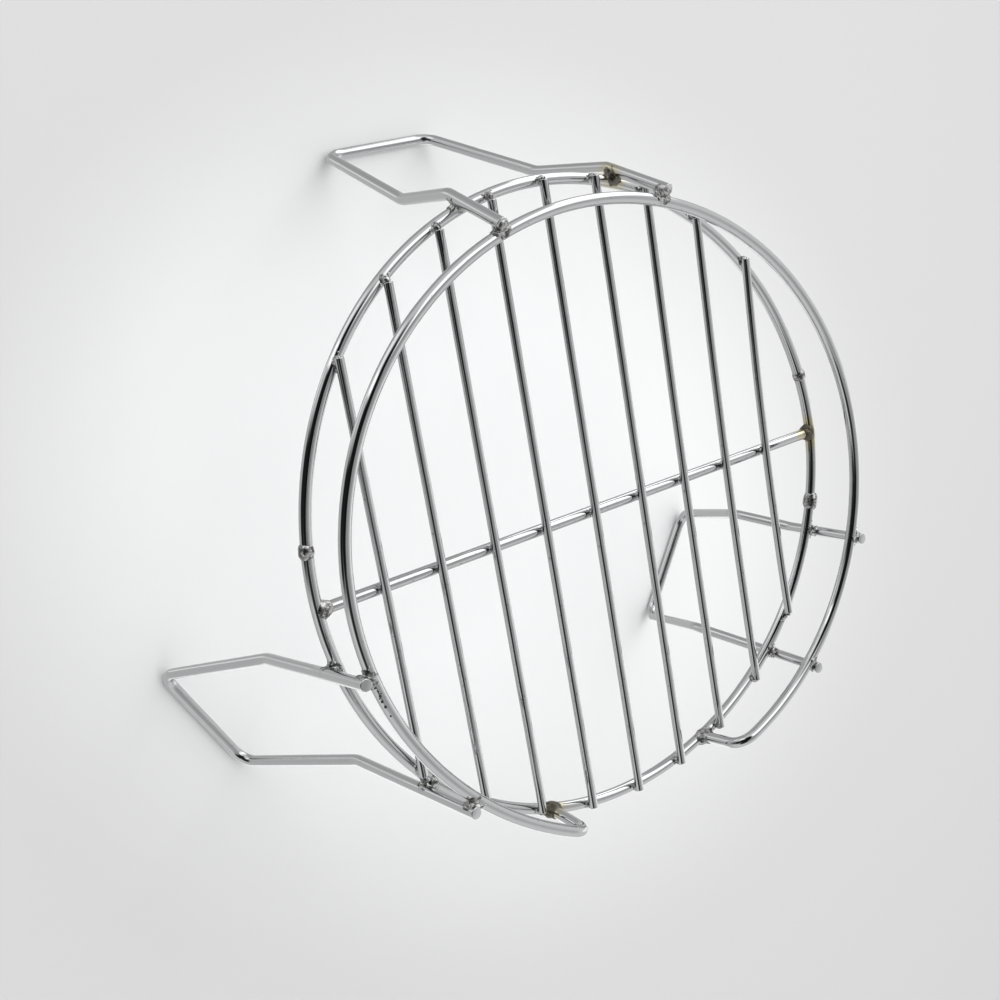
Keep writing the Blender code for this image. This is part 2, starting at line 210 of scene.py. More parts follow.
def wire(name, line, guide_of, radius, spacing=1.6 * MM, sides=28, closed=False, dents=()):
    """One wire: its skin with rounded cut ends, slight waviness and dents, and its straightened coordinates.

    radius(s, a) = radius + waviness(s, a) - rounding at the cuts - depth * exp(-((s - place) / width)^2) *
    ((1 + cos(a - side)) / 2)^2 for each dent."""
    if closed:
        path = line
        at = length_along(line)
        to_end = np.full(len(at), 1.0)
    else:
        path, at = stations(line, spacing)
        to_end = np.minimum(at, at[-1] - at)
    angle = (np.arange(sides) * math.tau / sides)[None]
    along = at[:, None]
    turn = math.tau / (at[-1] if closed else WAVE_REPEAT)
    waves = np.sin(turn * 7 * along + angle) + 0.7 * np.sin(turn * 23 * along - 2 * angle + 1.3)
    inside = np.maximum(CUT_ROUND - to_end, 0.0)
    rounding = CUT_ROUND - np.sqrt(np.maximum(CUT_ROUND**2 - inside**2, 0.0))
    size = radius + WAVE_HEIGHT * waves - rounding[:, None]
    for place, side, depth, width in dents:
        facing = (1 + np.cos(angle - side)) / 2
        size = size - depth * np.exp(-(((along - place) / width) ** 2)) * facing**2
    made = skin(name, sweep(path, guide_of(path), size, sides, closed), closed)
    flat = np.stack(np.broadcast_arrays(along, radius * np.cos(angle), radius * np.sin(angle)), axis=-1)
    flat = flat.reshape(-1, 3)
    if not closed:
        flat = np.concatenate([flat, [[0.0, 0.0, 0.0], [at[-1], 0.0, 0.0]]])
    keep(made.data, "straightened", "FLOAT_VECTOR", flat)
    return made


def points_of(made):
    """The points of a made piece as an array."""
    flat = np.zeros(len(made.data.vertices) * 3, np.float32)
    made.data.vertices.foreach_get("co", flat)
    return flat.reshape(-1, 3)


def compare(made, node):
    """Print how far a new piece's box is from its CAD piece's box, in mm."""
    mine = points_of(made)
    low, high = box_of(node)
    worst = max(np.abs(mine.min(axis=0) - low).max(), np.abs(mine.max(axis=0) - high).max())
    print("%-34s %6d points, box within %.2f mm" % (made.name, len(mine), worst / MM))


# %% [markdown]
# ## Lines of the two rings
# Neither ring is a true circle, which is common with wire that is bent by hand or on a worn roller. Their
# radius is a circle's plus a few slow waves of the bearing, the usual way to describe an out-of-round part.
# The guard rail stops short of a full turn, and both its ends bend down to stand on the platform ring.
# %% Ring lines


def at_bearing(bearing, radius, z):
    """Points at bearings (degrees from +X), at a radius from the ring's middle and a height."""
    angle = np.radians(bearing)
    return MIDDLE + np.stack([radius * np.cos(angle), radius * np.sin(angle), angle * 0 + z], axis=-1)


def platform_radius(bearing):
    """PLATFORM_R, slightly oval and three-lobed, and pushed out where the crossbar's right end meets it."""
    angle = np.radians(bearing)
    away = (bearing + 3.0 + 180.0) % 360.0 - 180.0
    lobes = -1.2 * np.sin(2 * angle) + 0.9 * np.cos(3 * angle + math.radians(26.0))
    return PLATFORM_R + (lobes + 0.6 * np.exp(-((away / 13.0) ** 2))) * MM


def guard_radius(bearing):
    """GUARD_R round a shifted middle, oval, and sprung out or in over its last stretches."""
    angle = np.radians(bearing)
    shift = 0.6 * np.cos(angle) - 3.9 * np.sin(angle)
    oval = 2.5 * np.cos(2 * angle) - 1.6 * np.sin(2 * angle)
    from_back = (bearing - 90.0 + 180.0) % 360.0 - 180.0
    late = np.maximum(0.0, (np.abs(from_back) - 115.0) / 46.0)
    return GUARD_R + (shift + oval + np.where(from_back > 0, 4.8, -2.7) * late**2) * MM


def platform_point(bearing):
    return at_bearing(bearing, platform_radius(bearing), PLATFORM_Z)


def guard_point(bearing):
    return at_bearing(bearing, guard_radius(bearing), GUARD_Z)


def ring_tangent(point_at, bearing):
    return unit(point_at(bearing + 0.5) - point_at(bearing - 0.5))


def outward(path):
    """The level direction away from the ring's middle at each point of a path."""
    away = (path - MIDDLE) * np.array([1.0, 1.0, 0.0])
    return unit(away)


GUARD_ENDS = {"right": -71.5, "left": 249.4}
GUARD_FOOT_R = 137.0 * MM
GUARD_BEND_R = 8.0 * MM
SPLICE_BEARING = 172.0


def guard_line():
    """From one foot up, round the ring just past each bend, and down to the other foot."""
    turn = math.degrees(GUARD_BEND_R / GUARD_R) + 0.6
    low = PLATFORM_Z + WIRE_R + GAP
    first, last = GUARD_ENDS["right"], GUARD_ENDS["left"]
    round_part = guard_point(np.linspace(first + turn, last - turn, 620))
    right = bent([at_bearing(first, GUARD_FOOT_R, low), guard_point(first), round_part[0]], [GUARD_BEND_R])
    left = bent([round_part[-1], guard_point(last), at_bearing(last, GUARD_FOOT_R, low)], [GUARD_BEND_R])
    return np.concatenate([right[:-1], round_part, left[1:]])


platform_line = platform_point(SPLICE_BEARING + np.arange(540) * 360.0 / 540)
print("guard rail is", round(length_along(guard_line())[-1] / MM), "mm of wire")

# %% [markdown]
# ## Lines of the legs
# Each leg is one length of wire bent into a loop: from a cut end down the outside of both rings, where it is
# welded, then an upper bend, a knee and the level foot bar, and back up on the other side. The two arms are
# worked out in the leg's own frame, X away from the stand and Y across, then turned to the leg's bearing.
# %% Leg lines
LEG_BEND_R, LEG_KNEE_R, LEG_FOOT_R, LEAN_PIVOT = 8.0 * MM, 16.0 * MM, 8.0 * MM, -60.0 * MM
# Bearing; half widths at top, ring, knee and foot; distance out at knee and foot; heights of upper bend and
# knee from the platform ring; rise of the cut ends above the guard rail; sideways lean. In mm and degrees.
LEGS = {
    "leg_back": (91.0, 41.7, 40.6, 35.8, 27.9, 139.7, 163.5, -2.6, -46.5, 4.4, 0.0),
    "leg_front_left": (206.9, 37.9, 35.5, 33.2, 30.5, 141.1, 169.2, -9.0, -50.3, 4.6, 0.0),
    "leg_front_right": (325.3, 32.6, 32.0, 31.3, 31.4, 133.0, 163.8, -15.0, -48.8, 2.9, 1.0),
}


def leg_arm(values, side):
    """Cut end, upper bend, knee and foot corner of one arm, and where it touches the two rings."""
    bearing, lean = values[0], values[-1]
    top, ring, knee_w, foot_w, knee_out, foot_out, bend_z, knee_z, rise = np.array(values[1:-1]) * MM
    slide, tip = math.tan(math.radians(lean)), 0.0
    low_y = side * ring + slide * LEAN_PIVOT
    high_y = side * top + slide * (LEAN_PIVOT - (GUARD_Z - PLATFORM_Z))
    for _ in range(6):
        apart = (2 * WIRE_R + GAP) / math.cos(tip)
        low_out = platform_radius(bearing + math.degrees(math.asin(low_y / PLATFORM_R))) + apart
        high_out = guard_radius(bearing + math.degrees(math.asin(high_y / GUARD_R))) + apart
        low = np.array([math.sqrt(low_out**2 - low_y**2), low_y, PLATFORM_Z])
        high = np.array([math.sqrt(high_out**2 - high_y**2), high_y, GUARD_Z])
        tip = math.atan2(abs(high[0] - low[0]), GUARD_Z - PLATFORM_Z)
    slope = (high - low) / (GUARD_Z - PLATFORM_Z)
    knee = np.array([knee_out, side * knee_w + slide * (LEAN_PIVOT - knee_z), PLATFORM_Z + knee_z])
    foot = np.array([foot_out, side * foot_w + slide * (LEAN_PIVOT + PLATFORM_Z - FOOT_Z), FOOT_Z])
    return np.array([high + slope * rise, low + slope * bend_z, knee, foot]), low, high


def turned_to(points, bearing):
    """Points of a leg's own frame turned to its bearing about the ring's middle."""
    cosine, sine = math.cos(math.radians(bearing)), math.sin(math.radians(bearing))
    spin = np.array([[cosine, -sine, 0], [sine, cosine, 0], [0, 0, 1]])
    return MIDDLE + np.asarray(points) @ spin.T


leg_lines, leg_contacts = {}, {}
for leg, values in LEGS.items():
    arms = {"right": leg_arm(values, -1), "left": leg_arm(values, 1)}
    corners = np.concatenate([arms["right"][0], arms["left"][0][::-1]])
    bends = [LEG_BEND_R, LEG_KNEE_R, LEG_FOOT_R, LEG_FOOT_R, LEG_KNEE_R, LEG_BEND_R]
    leg_lines[leg] = turned_to(bent(corners, bends), values[0])
    for side, (_, low, high) in arms.items():
        leg_contacts[leg, side] = turned_to([low, high], values[0])
    print(leg, "is", round(length_along(leg_lines[leg])[-1] / MM), "mm of wire")

# %% [markdown]
# ## Where the welds are
# The wires are darker and rougher close to a weld, so all welds are placed before any skin is made. A weld
# joins two wires at the point where they come closest. For two straight lines that point has a closed
# formula, and over a weld's few millimetres a ring is as good as straight.
# %% Weld places
FAR = 30.0 * MM
# How far a weld's skin swells over the wires, and how far it spreads from its middle.
LEG_WELD = (0.16 * MM, 4.2 * MM)
GUARD_END_WELD = (0.75 * MM, 4.2 * MM)
CROSSBAR_WELD = (0.55 * MM, 3.6 * MM)
# Bearing of each splice, then the same two sizes.
SPLICES = {
    "splice_weld_left": (SPLICE_BEARING, 0.95 * MM, 2.8 * MM),
    "splice_weld_right_back": (10.0, 1.0 * MM, 2.8 * MM),
    "splice_weld_right_front": (-16.3, 1.15 * MM, 3.6 * MM),
}
END_STEP = 0.3 * MM
CLEAR_OF_CUT = 0.5 * MM


def closest(point_a, along_a, point_b, along_b):
    """The closest points of two straight lines, where their difference is square to both."""
    apart = point_a - point_b
    ab, aa, bb = along_a @ along_b, along_a @ along_a, along_b @ along_b
    scale = aa * bb - ab * ab
    on_a = point_a + along_a * (ab * (along_b @ apart) - bb * (along_a @ apart)) / scale
    on_b = point_b + along_b * (aa * (along_b @ apart) - ab * (along_a @ apart)) / scale
    return on_a, on_b


def bearing_of(point):
    return math.degrees(math.atan2(point[1] - MIDDLE[1], point[0] - MIDDLE[0])) % 360.0


def rod(point, along, before, after, radius):
    """A straight stretch of wire: a point on it, its direction, how far it runs each way, and its radius."""
    return point, unit(along), before, after, radius


joints = {}  # node: (middle of the weld, rods that it joins, how far it swells, how far it spreads)
for (leg, side), (low, high) in leg_contacts.items():
    *_, rise, _ = LEGS[leg]
    to_cut = rise * MM - WIRE_R - CLEAR_OF_CUT
    for level, contact, point_at, above in (
            ("platform", low, platform_point, FAR), ("guard", high, guard_point, to_cut)):
        bearing = bearing_of(contact)
        tangent = ring_tangent(point_at, bearing)
        on_ring, on_arm = closest(point_at(bearing), tangent, contact, high - low)
        rods = [rod(on_ring, tangent, FAR, FAR, WIRE_R), rod(on_arm, high - low, FAR, above, WIRE_R)]
        joints["%s_%s_weld_%s" % (leg, level, side)] = ((on_ring + on_arm) / 2, rods, *LEG_WELD)

for side, bearing in GUARD_ENDS.items():
    foot = at_bearing(bearing, GUARD_FOOT_R, PLATFORM_Z + WIRE_R + GAP)
    up = unit(guard_point(bearing) - foot)
    rods = [rod(platform_point(bearing), ring_tangent(platform_point, bearing), FAR, FAR, WIRE_R),
            rod(foot, up, 0.0, FAR, WIRE_R - 0.1 * MM)]
    joints["guard_end_weld_" + side] = (foot - up * END_STEP, rods, *GUARD_END_WELD)

for side, sign in (("left", -1), ("right", 1)):
    end = np.array([cross_high[0] if sign > 0 else cross_low[0], CROSSBAR_Y, PLATFORM_Z])
    bearing = bearing_of(end)
    rods = [rod(platform_point(bearing), ring_tangent(platform_point, bearing), FAR, FAR, WIRE_R),
            rod(end, np.array([-sign, 0.0, 0.0]), 0.0, FAR, WIRE_R - 0.1 * MM)]
    joints["crossbar_weld_" + side] = (end + np.array([sign * END_STEP, 0, 0]), rods, *CROSSBAR_WELD)

for node, (bearing, swell, spread) in SPLICES.items():
    middle = platform_point(bearing)
    rods = [rod(middle, ring_tangent(platform_point, bearing), FAR, FAR, WIRE_R)]
    joints[node] = (middle + outward(middle) * 0.6 * MM, rods, swell, spread)

bar_spots = {}
CONTACT_Z = PLATFORM_Z + WIRE_R + GAP / 2
for number in range(1, 10):
    low, high = box_of("grid_bar_%d" % number)
    straight = (low[0] + high[0]) / 2
    for end, sign in (("back", 1), ("front", -1)):
        bearing = sign * 90.0
        for _ in range(8):
            reach = platform_radius(bearing)
            bearing = sign * math.degrees(math.acos((straight - MIDDLE[0]) / reach))
        bar_spots[number, end] = (platform_point(bearing), ring_tangent(platform_point, bearing))
    bar_spots[number, "cross"] = (np.array([straight, CROSSBAR_Y, PLATFORM_Z]), np.array([1.0, 0.0, 0.0]))

# A few welds ran hotter than the rest, and the plating round them took a straw to brown colour.
HOT = {"crossbar_weld_right": 1.0, "leg_back_platform_weld_right": 0.72, "guard_end_weld_left": 0.8,
       "guard_end_weld_right": 0.35}
weld_spots = [(*middle, 1.0, HOT.get(node, 0.1)) for node, (middle, *_) in joints.items()]
weld_spots += [(point[0], point[1], CONTACT_Z, 0.3, 0.0) for point, _ in bar_spots.values()]


DULL_REACH, HEAT_REACH = 6.0 * MM, 9.0 * MM


def near_weld(points):
    """Dulling and heat colour at each point: the largest of share * exp(-(distance / reach) squared)."""
    spots = np.array(weld_spots)
    apart = np.linalg.norm(points[:, None] - spots[None, :, :3], axis=2)
    dull = spots[:, 3] * np.exp(-((apart / DULL_REACH) ** 2))
    heat = spots[:, 4] * np.exp(-((apart / HEAT_REACH) ** 2))
    return dull.max(axis=1), heat.max(axis=1)


print(len(joints), "welds and", len(bar_spots), "bar joints")

# %% [markdown]
# ## Sums of shader nodes
# Writing a material as a formula is shorter and easier to check than wiring nodes by hand. `Signal` wraps one
# socket. Adding or multiplying signals adds the Math node that does it, and `node` makes any other node.
# %% Signals


class Signal:
    """A value on its way through a node tree. The operators add Math nodes."""

    def __init__(self, tree, socket=None):
        self.tree = tree
        self.socket = socket

    def node(self, kind, settings=None, inputs=None, out=0):
        """One node: first its settings, then the value or link of each input, by name or number."""
        made = self.tree.nodes.new(kind)
        for key, value in (settings or {}).items():
            setattr(made, key, value)
        for key, value in (inputs or {}).items():
            if isinstance(value, Signal):
                self.tree.links.new(value.socket, made.inputs[key])
            else:
                made.inputs[key].default_value = value
        return Signal(self.tree, made.outputs[out])

    def math(self, operation, first, second=0.0, clamp=False):
        settings = {"operation": operation, "use_clamp": clamp}
        return self.node("ShaderNodeMath", settings, {0: first, 1: second})

    def __add__(self, other):
        return self.math("ADD", self, other)

    def __radd__(self, other):
        return self.math("ADD", other, self)

    def __sub__(self, other):
        return self.math("SUBTRACT", self, other)

    def __rsub__(self, other):
        return self.math("SUBTRACT", other, self)

    def __mul__(self, other):
        return self.math("MULTIPLY", self, other)

    def __rmul__(self, other):
        return self.math("MULTIPLY", other, self)

    def __truediv__(self, other):
        return self.math("DIVIDE", self, other)

    def __pow__(self, other):
        return self.math("POWER", self, other)

    def clamped(self):
        return self.math("ADD", self, 0.0, clamp=True)

    def step(self, low, high):
        """0 below low, 1 above high, smooth in between."""
        settings = {"interpolation_type": "SMOOTHSTEP"}
        return self.node("ShaderNodeMapRange", settings, {0: self, 1: low, 2: high, 3: 0.0, 4: 1.0})

    def blend(self, first, second):
        """first where this signal is 0, second where it is 1, for colours."""
        return self.node("ShaderNodeMix", {"data_type": "RGBA"}, {0: self, 6: first, 7: second}, out=2)


def noise(tree, vector, scale, detail, roughness, stretch=None):
    """Blender's noise, on coordinates that may first be squeezed along some axes."""
    start = Signal(tree)
    if stretch:
        vector = start.node("ShaderNodeVectorMath", {"operation": "MULTIPLY"}, {0: vector, 1: stretch})
    inputs = {"Vector": vector, "Scale": scale, "Detail": detail, "Roughness": roughness}
    return start.node("ShaderNodeTexNoise", {}, inputs)


print("signals are ready")

# %% [markdown]
# ## The finishes
# The wire is drawn steel with a bright plating. Drawing leaves fine lines along the wire, and thin plating
# leaves small pits and cloudy stretches, so the finish varies roughness more than colour. Near a weld the
# plating is duller, and where the weld ran hot it is straw to brown. The drawing lines read the straightened
# coordinates, in which every wire is a straight one, so they follow each bend. The welds share the plating,
# over lumpy metal.
# %% Finishes


def plated_finish(name, grey, smooth, pits):
    """Plated wire: grey is the plating's colour, smooth its roughness, pits how many dull specks it has."""
    material = bpy.data.materials.new(name)
    material.use_nodes = True
    tree = material.node_tree
    shader = tree.nodes["Principled BSDF"]
    start = Signal(tree)
    laid = start.node("ShaderNodeAttribute", {"attribute_name": "straightened"}, out=1)
    weld = start.node("ShaderNodeAttribute", {"attribute_name": "near_weld"}, out=2)
    heat = start.node("ShaderNodeAttribute", {"attribute_name": "scorched"}, out=2)
    place = start.node("ShaderNodeTexCoord", out=3)
    lines = noise(tree, laid, 1.0, 3.0, 0.6, stretch=(14.0, 2400.0, 2400.0))
    specks = noise(tree, laid, 1.0, 2.0, 0.55, stretch=(520.0, 1400.0, 1400.0))
    clouds = noise(tree, place, 34.0, 3.0, 0.55)
    patchy = noise(tree, place, 260.0, 3.0, 0.6)
    peel = noise(tree, laid, 1.0, 1.0, 0.4, stretch=(120.0, 420.0, 420.0))
    spotted = specks.step(0.70 - pits, 0.80 - pits)
    dulled = (weld * (patchy + 0.5)).step(0.40, 1.0)
    straw = (heat + (patchy - 0.5) * 0.25).step(0.25, 0.62)
    browned = (heat + (patchy - 0.5) * 0.40).step(0.66, 0.98)
    colour = spotted.blend((*grey, 1.0), (grey[0] * 0.45, grey[1] * 0.45, grey[2] * 0.46, 1.0))
    colour = (dulled * 0.40).blend(colour, (0.22, 0.22, 0.215, 1.0))
    colour = (straw * 0.85).blend(colour, (0.50, 0.46, 0.32, 1.0))
    colour = (browned * 0.90).blend(colour, (0.13, 0.105, 0.06, 1.0))
    rough = smooth + (clouds - 0.5) * 0.08 + (lines - 0.5) * 0.07 + spotted * 0.22 + dulled * 0.14
    tree.links.new(colour.socket, shader.inputs["Base Color"])
    tree.links.new(rough.clamped().socket, shader.inputs["Roughness"])
    height = (lines - 0.5) * 0.35 + (peel - 0.5) * 1.0 - spotted * 0.5 + (specks - 0.5) * dulled * 1.6
    bump = start.node("ShaderNodeBump", {}, {"Strength": 0.35, "Distance": 0.00006, "Height": height})
    tree.links.new(bump.socket, shader.inputs["Normal"])
    shader.inputs["Metallic"].default_value = 1.0
    return material


def weld_finish(name, dark, light, metallic=1.0):
    """Weld metal under the same plating: mottled from dark to light grey, and browned where it ran hot."""
    material = bpy.data.materials.new(name)
    material.use_nodes = True
    tree = material.node_tree
    shader = tree.nodes["Principled BSDF"]
    start = Signal(tree)
    place = start.node("ShaderNodeTexCoord", out=3)
    heat = start.node("ShaderNodeAttribute", {"attribute_name": "scorched"}, out=2)
    mottle = noise(tree, place, 520.0, 4.0, 0.6)
    grain = noise(tree, place, 1500.0, 3.0, 0.6)
    colour = mottle.step(0.36, 0.62).blend((dark, dark, dark * 0.97, 1.0), (light, light, light * 0.99, 1.0))
    scorched = (heat + (mottle - 0.5) * 0.5).step(0.25, 0.75)
    colour = (scorched * 0.88).blend(colour, (0.085, 0.072, 0.045, 1.0))
    rough = 0.14 + mottle * 0.18 + scorched * 0.2
    height = (mottle - 0.5) * 1.0 + (grain - 0.5) * 0.4
    bump = start.node("ShaderNodeBump", {}, {"Strength": 0.75, "Distance": 0.0004, "Height": height})
    tree.links.new(colour.socket, shader.inputs["Base Color"])
    tree.links.new(rough.socket, shader.inputs["Roughness"])
    tree.links.new(bump.socket, shader.inputs["Normal"])
    shader.inputs["Metallic"].default_value = metallic
    return material


ring_finish = plated_finish("bright plating on the rings", (0.51, 0.515, 0.52), 0.07, 0.02)
bar_finish = plated_finish("bright plating on the bars", (0.50, 0.505, 0.51), 0.06, 0.05)
leg_finish = plated_finish("bright plating on the legs", (0.52, 0.525, 0.53), 0.17, 0.0)
bead_finish = weld_finish("plated weld metal", 0.09, 0.50)
flash_finish = weld_finish("bright flash", 0.40, 0.85)
burnt_finish = weld_finish("burnt spatter", 0.012, 0.03, metallic=0.3)
print("finishes:", ring_finish.name, "|", bar_finish.name, "|", leg_finish.name)
print("weld finishes:", bead_finish.name, "|", flash_finish.name, "|", burnt_finish.name)

# %% [markdown]
# ## Handing a piece over
# A finished piece rides on the stand's only body, is shown in place of its CAD piece if it has one, and takes
# one of the finishes as its material. Doing this in one function means that no piece can miss a step.
# %% Handing over


def hand_over(made, node, finish):
    """Dress a piece, put it on the body and let it stand for its CAD piece."""
    made.data.materials.append(finish)
    dull, heat = near_weld(points_of(made))
    keep(made.data, "near_weld", "FLOAT", dull)
    keep(made.data, "scorched", "FLOAT", heat)
    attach(made, "root")
    if node:
        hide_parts(node)
        compare(made, node)


print("every piece is handed over in the same way")

# %% [markdown]
# ## The rings
# The platform ring closes on itself, and its seam in the straightened coordinates lies under the splice weld.
# The guard rail is an open length of the same wire with a flat cut at each foot.
# %% Rings
ring = wire("platform_ring_wire", platform_line, outward, WIRE_R, sides=32, closed=True)
hand_over(ring, "platform_ring", ring_finish)
rail = wire("guard_rail_wire", guard_line(), outward, WIRE_R, sides=32)
hand_over(rail, "guard_rail", ring_finish)

# %% [markdown]
# ## The grid
# Nine lighter bars lie side by side on the platform ring and on the crossbar. Their places and lengths are
# read from the frame. The last three are slightly bowed, as bars are that were held at both ends and pushed.
# %% Crossbar and bars


def upward(path):
    """Straight up at each point of a path."""
    return np.broadcast_to(np.array([0.0, 0.0, 1.0]), path.shape)


cross_line = np.array([[cross_low[0], CROSSBAR_Y, PLATFORM_Z], [cross_high[0], CROSSBAR_Y, PLATFORM_Z]])
hand_over(wire("crossbar_wire", cross_line, upward, WIRE_R), "crossbar", bar_finish)

BOWS = {7: -1.0 * MM, 8: -1.5 * MM, 9: -2.0 * MM}
bar_x = {}
for number in range(1, 10):
    node = "grid_bar_%d" % number
    low, high = box_of(node)
    bow = BOWS.get(number, 0.0)
    bar_x[number] = high[0] - BAR_R * FLAT
    across = np.linspace(-1.0, 1.0, 60)
    run = (low[1] + high[1]) / 2 + across * (high[1] - low[1]) / 2
    line = np.stack([bar_x[number] + bow * (1 - across**2), run, run * 0 + (low[2] + high[2]) / 2], axis=1)
    bar = wire(node + "_wire", line, upward, BAR_R, spacing=2.4 * MM, sides=24)
    hand_over(bar, node, bar_finish)

# %% [markdown]
# ## The legs
# A leg's skin needs a guide direction that never lines up with the wire. The direction away from the stand
# does that for the whole loop, because the loop lies across it. Small dents beside the foot corners, such as
# a bending tool leaves, are guessed. They are part of the skin and not only of its finish.
# %% Legs
# Where each dent is, as a share of the leg's length, and the angle round the wire that it faces.
DENTS = {"leg_back": ((0.33, 1.2), (0.62, 2.6)), "leg_front_left": ((0.35, 1.0), (0.66, 2.2)),
         "leg_front_right": ((0.36, 1.5), (0.64, 2.0))}
DENT_DEPTH, DENT_WIDTH = 0.16 * MM, 1.1 * MM
for leg, values in LEGS.items():
    away = turned_to([[1.0, 0.0, 0.0]], values[0])[0] - MIDDLE
    total = length_along(leg_lines[leg])[-1]
    dents = [(share * total, side, DENT_DEPTH, DENT_WIDTH) for share, side in DENTS[leg]]
    bent_wire = wire(
        leg + "_wire", leg_lines[leg], lambda path: np.broadcast_to(away, path.shape), WIRE_R, dents=dents)
    hand_over(bent_wire, leg, leg_finish)

# %% [markdown]
# ## Welds
# A weld is metal that ran into the corner between two wires. Its skin is found as a level surface: the
# distance to each wire's skin is blended with a smooth minimum, which fills the corner, and a wall that rises
# with the distance from the weld's middle sinks the skin into the wires again. Along each direction from the
# middle the skin is where that sum first passes a slightly lumpy level.
# %% Weld skins
WALL_RISE = 1.6 * MM
LUMP_SIZE = 3.2 * MM


def to_rod(points, one):
    """Distance from points to the skin of a straight stretch of wire."""
    start, along, before, after, radius = one
    offset = points - start
    run = np.clip(offset @ along, -before, after)
    return np.linalg.norm(offset - run[..., None] * along, axis=-1) - radius


def lumps(points, seed, size):
    """Slow unevenness from -1 to 1: the mean of a few sine waves in random directions."""
    random = np.random.default_rng(seed)
    waves = unit(random.normal(size=(7, 3))) * (math.tau / size) * random.uniform(0.7, 1.6, size=(7, 1))
    return np.sin(points @ waves.T + random.uniform(0, math.tau, 7)).mean(axis=-1) * 1.8


def weld_grid(middle, rods, swell, spread, seed, rows=36, columns=48, fill=2.6 * MM, rough=0.28 * MM):
    """Points of a weld's skin by latitude and longitude round its middle, where smooth minimum of the rods'
    distances + wall(distance from the middle) = swell + rough * lumps."""
    latitude = (np.arange(rows) + 0.5) / rows * math.pi
    longitude = np.arange(columns) * math.tau / columns
    flat = np.sin(latitude)[:, None]
    rays = np.stack(np.broadcast_arrays(flat * np.cos(longitude), flat * np.sin(longitude),
                                        np.cos(latitude)[:, None]), axis=-1)
    out = np.linspace(0.05 * MM, spread * 2.6, 72)
    points = middle + rays[:, :, None] * out[:, None]
    field = to_rod(points, rods[0])
    for one in rods[1:]:
        other = to_rod(points, one)
        near = np.maximum(fill - np.abs(field - other), 0.0) / fill
        field = np.minimum(field, other) - near**2 * fill / 4
    wall = np.maximum((out / spread) ** 2 - 1.0, 0.0) * WALL_RISE
    level_at = swell + rough * lumps(points, seed, LUMP_SIZE)
    rise = field + wall - level_at
    outside = np.maximum(np.argmax(rise > 0, axis=2), 1)
    here = np.take_along_axis(rise, outside[..., None], 2)[..., 0]
    before = np.take_along_axis(rise, outside[..., None] - 1, 2)[..., 0]
    share = np.clip(-before / np.maximum(here - before, 1e-12), 0.0, 1.0)
    distance = out[outside - 1] + share * (out[outside] - out[outside - 1])
    return middle + rays * distance[..., None]


for seed, (node, (middle, rods, swell, spread)) in enumerate(joints.items()):
    grid = weld_grid(middle, rods, swell, spread, seed)
    bead = skin(node + "_bead", grid, flip=True)
    hand_over(bead, node, bead_finish)

# %% [markdown]
# ## Bar joints
# Bars like these are mostly joined by squeezing them onto the wires below under current. That leaves a thin
# collar of metal in the corner and a few bright beads of flash on the ring beside the bar and on its cut end.
# They are small and there are many, so the collars are kept as one piece and the beads as another.
# %% Bar joints
CROSS_SWELL, RING_SWELL, COLLAR_SPREAD = 0.08 * MM, 0.14 * MM, 2.1 * MM
COLLAR_FILL, COLLAR_ROUGH = 2.2 * MM, 0.24 * MM


def joined(name, grids):
    """Several closed skins in one mesh, made from their grids."""
    made = [skin("%s_%d" % (name, i), grid, flip=True) for i, grid in enumerate(grids)]
    for one in made:
        one.select_set(True)
    bpy.context.view_layer.objects.active = made[0]
    bpy.ops.object.join()
    made[0].name = name
    made[0].select_set(False)
    return made[0]


def bar_middle_x(number, y):
    """Where a bar's centreline runs at a given y, bow included."""
    low, high = box_of("grid_bar_%d" % number)
    across = (y - (low[1] + high[1]) / 2) / ((high[1] - low[1]) / 2)
    return bar_x[number] + BOWS.get(number, 0.0) * (1 - min(1.0, across**2))


def drop(point, size, seed):
    """A small lumpy bead of metal round a point."""
    ball = [rod(point, np.array([0.0, 0.0, 1.0]), 0.0, 0.0, size * 0.9)]
    return weld_grid(point, ball, 0.0, size, seed, rows=12, columns=16, rough=size * 0.25)


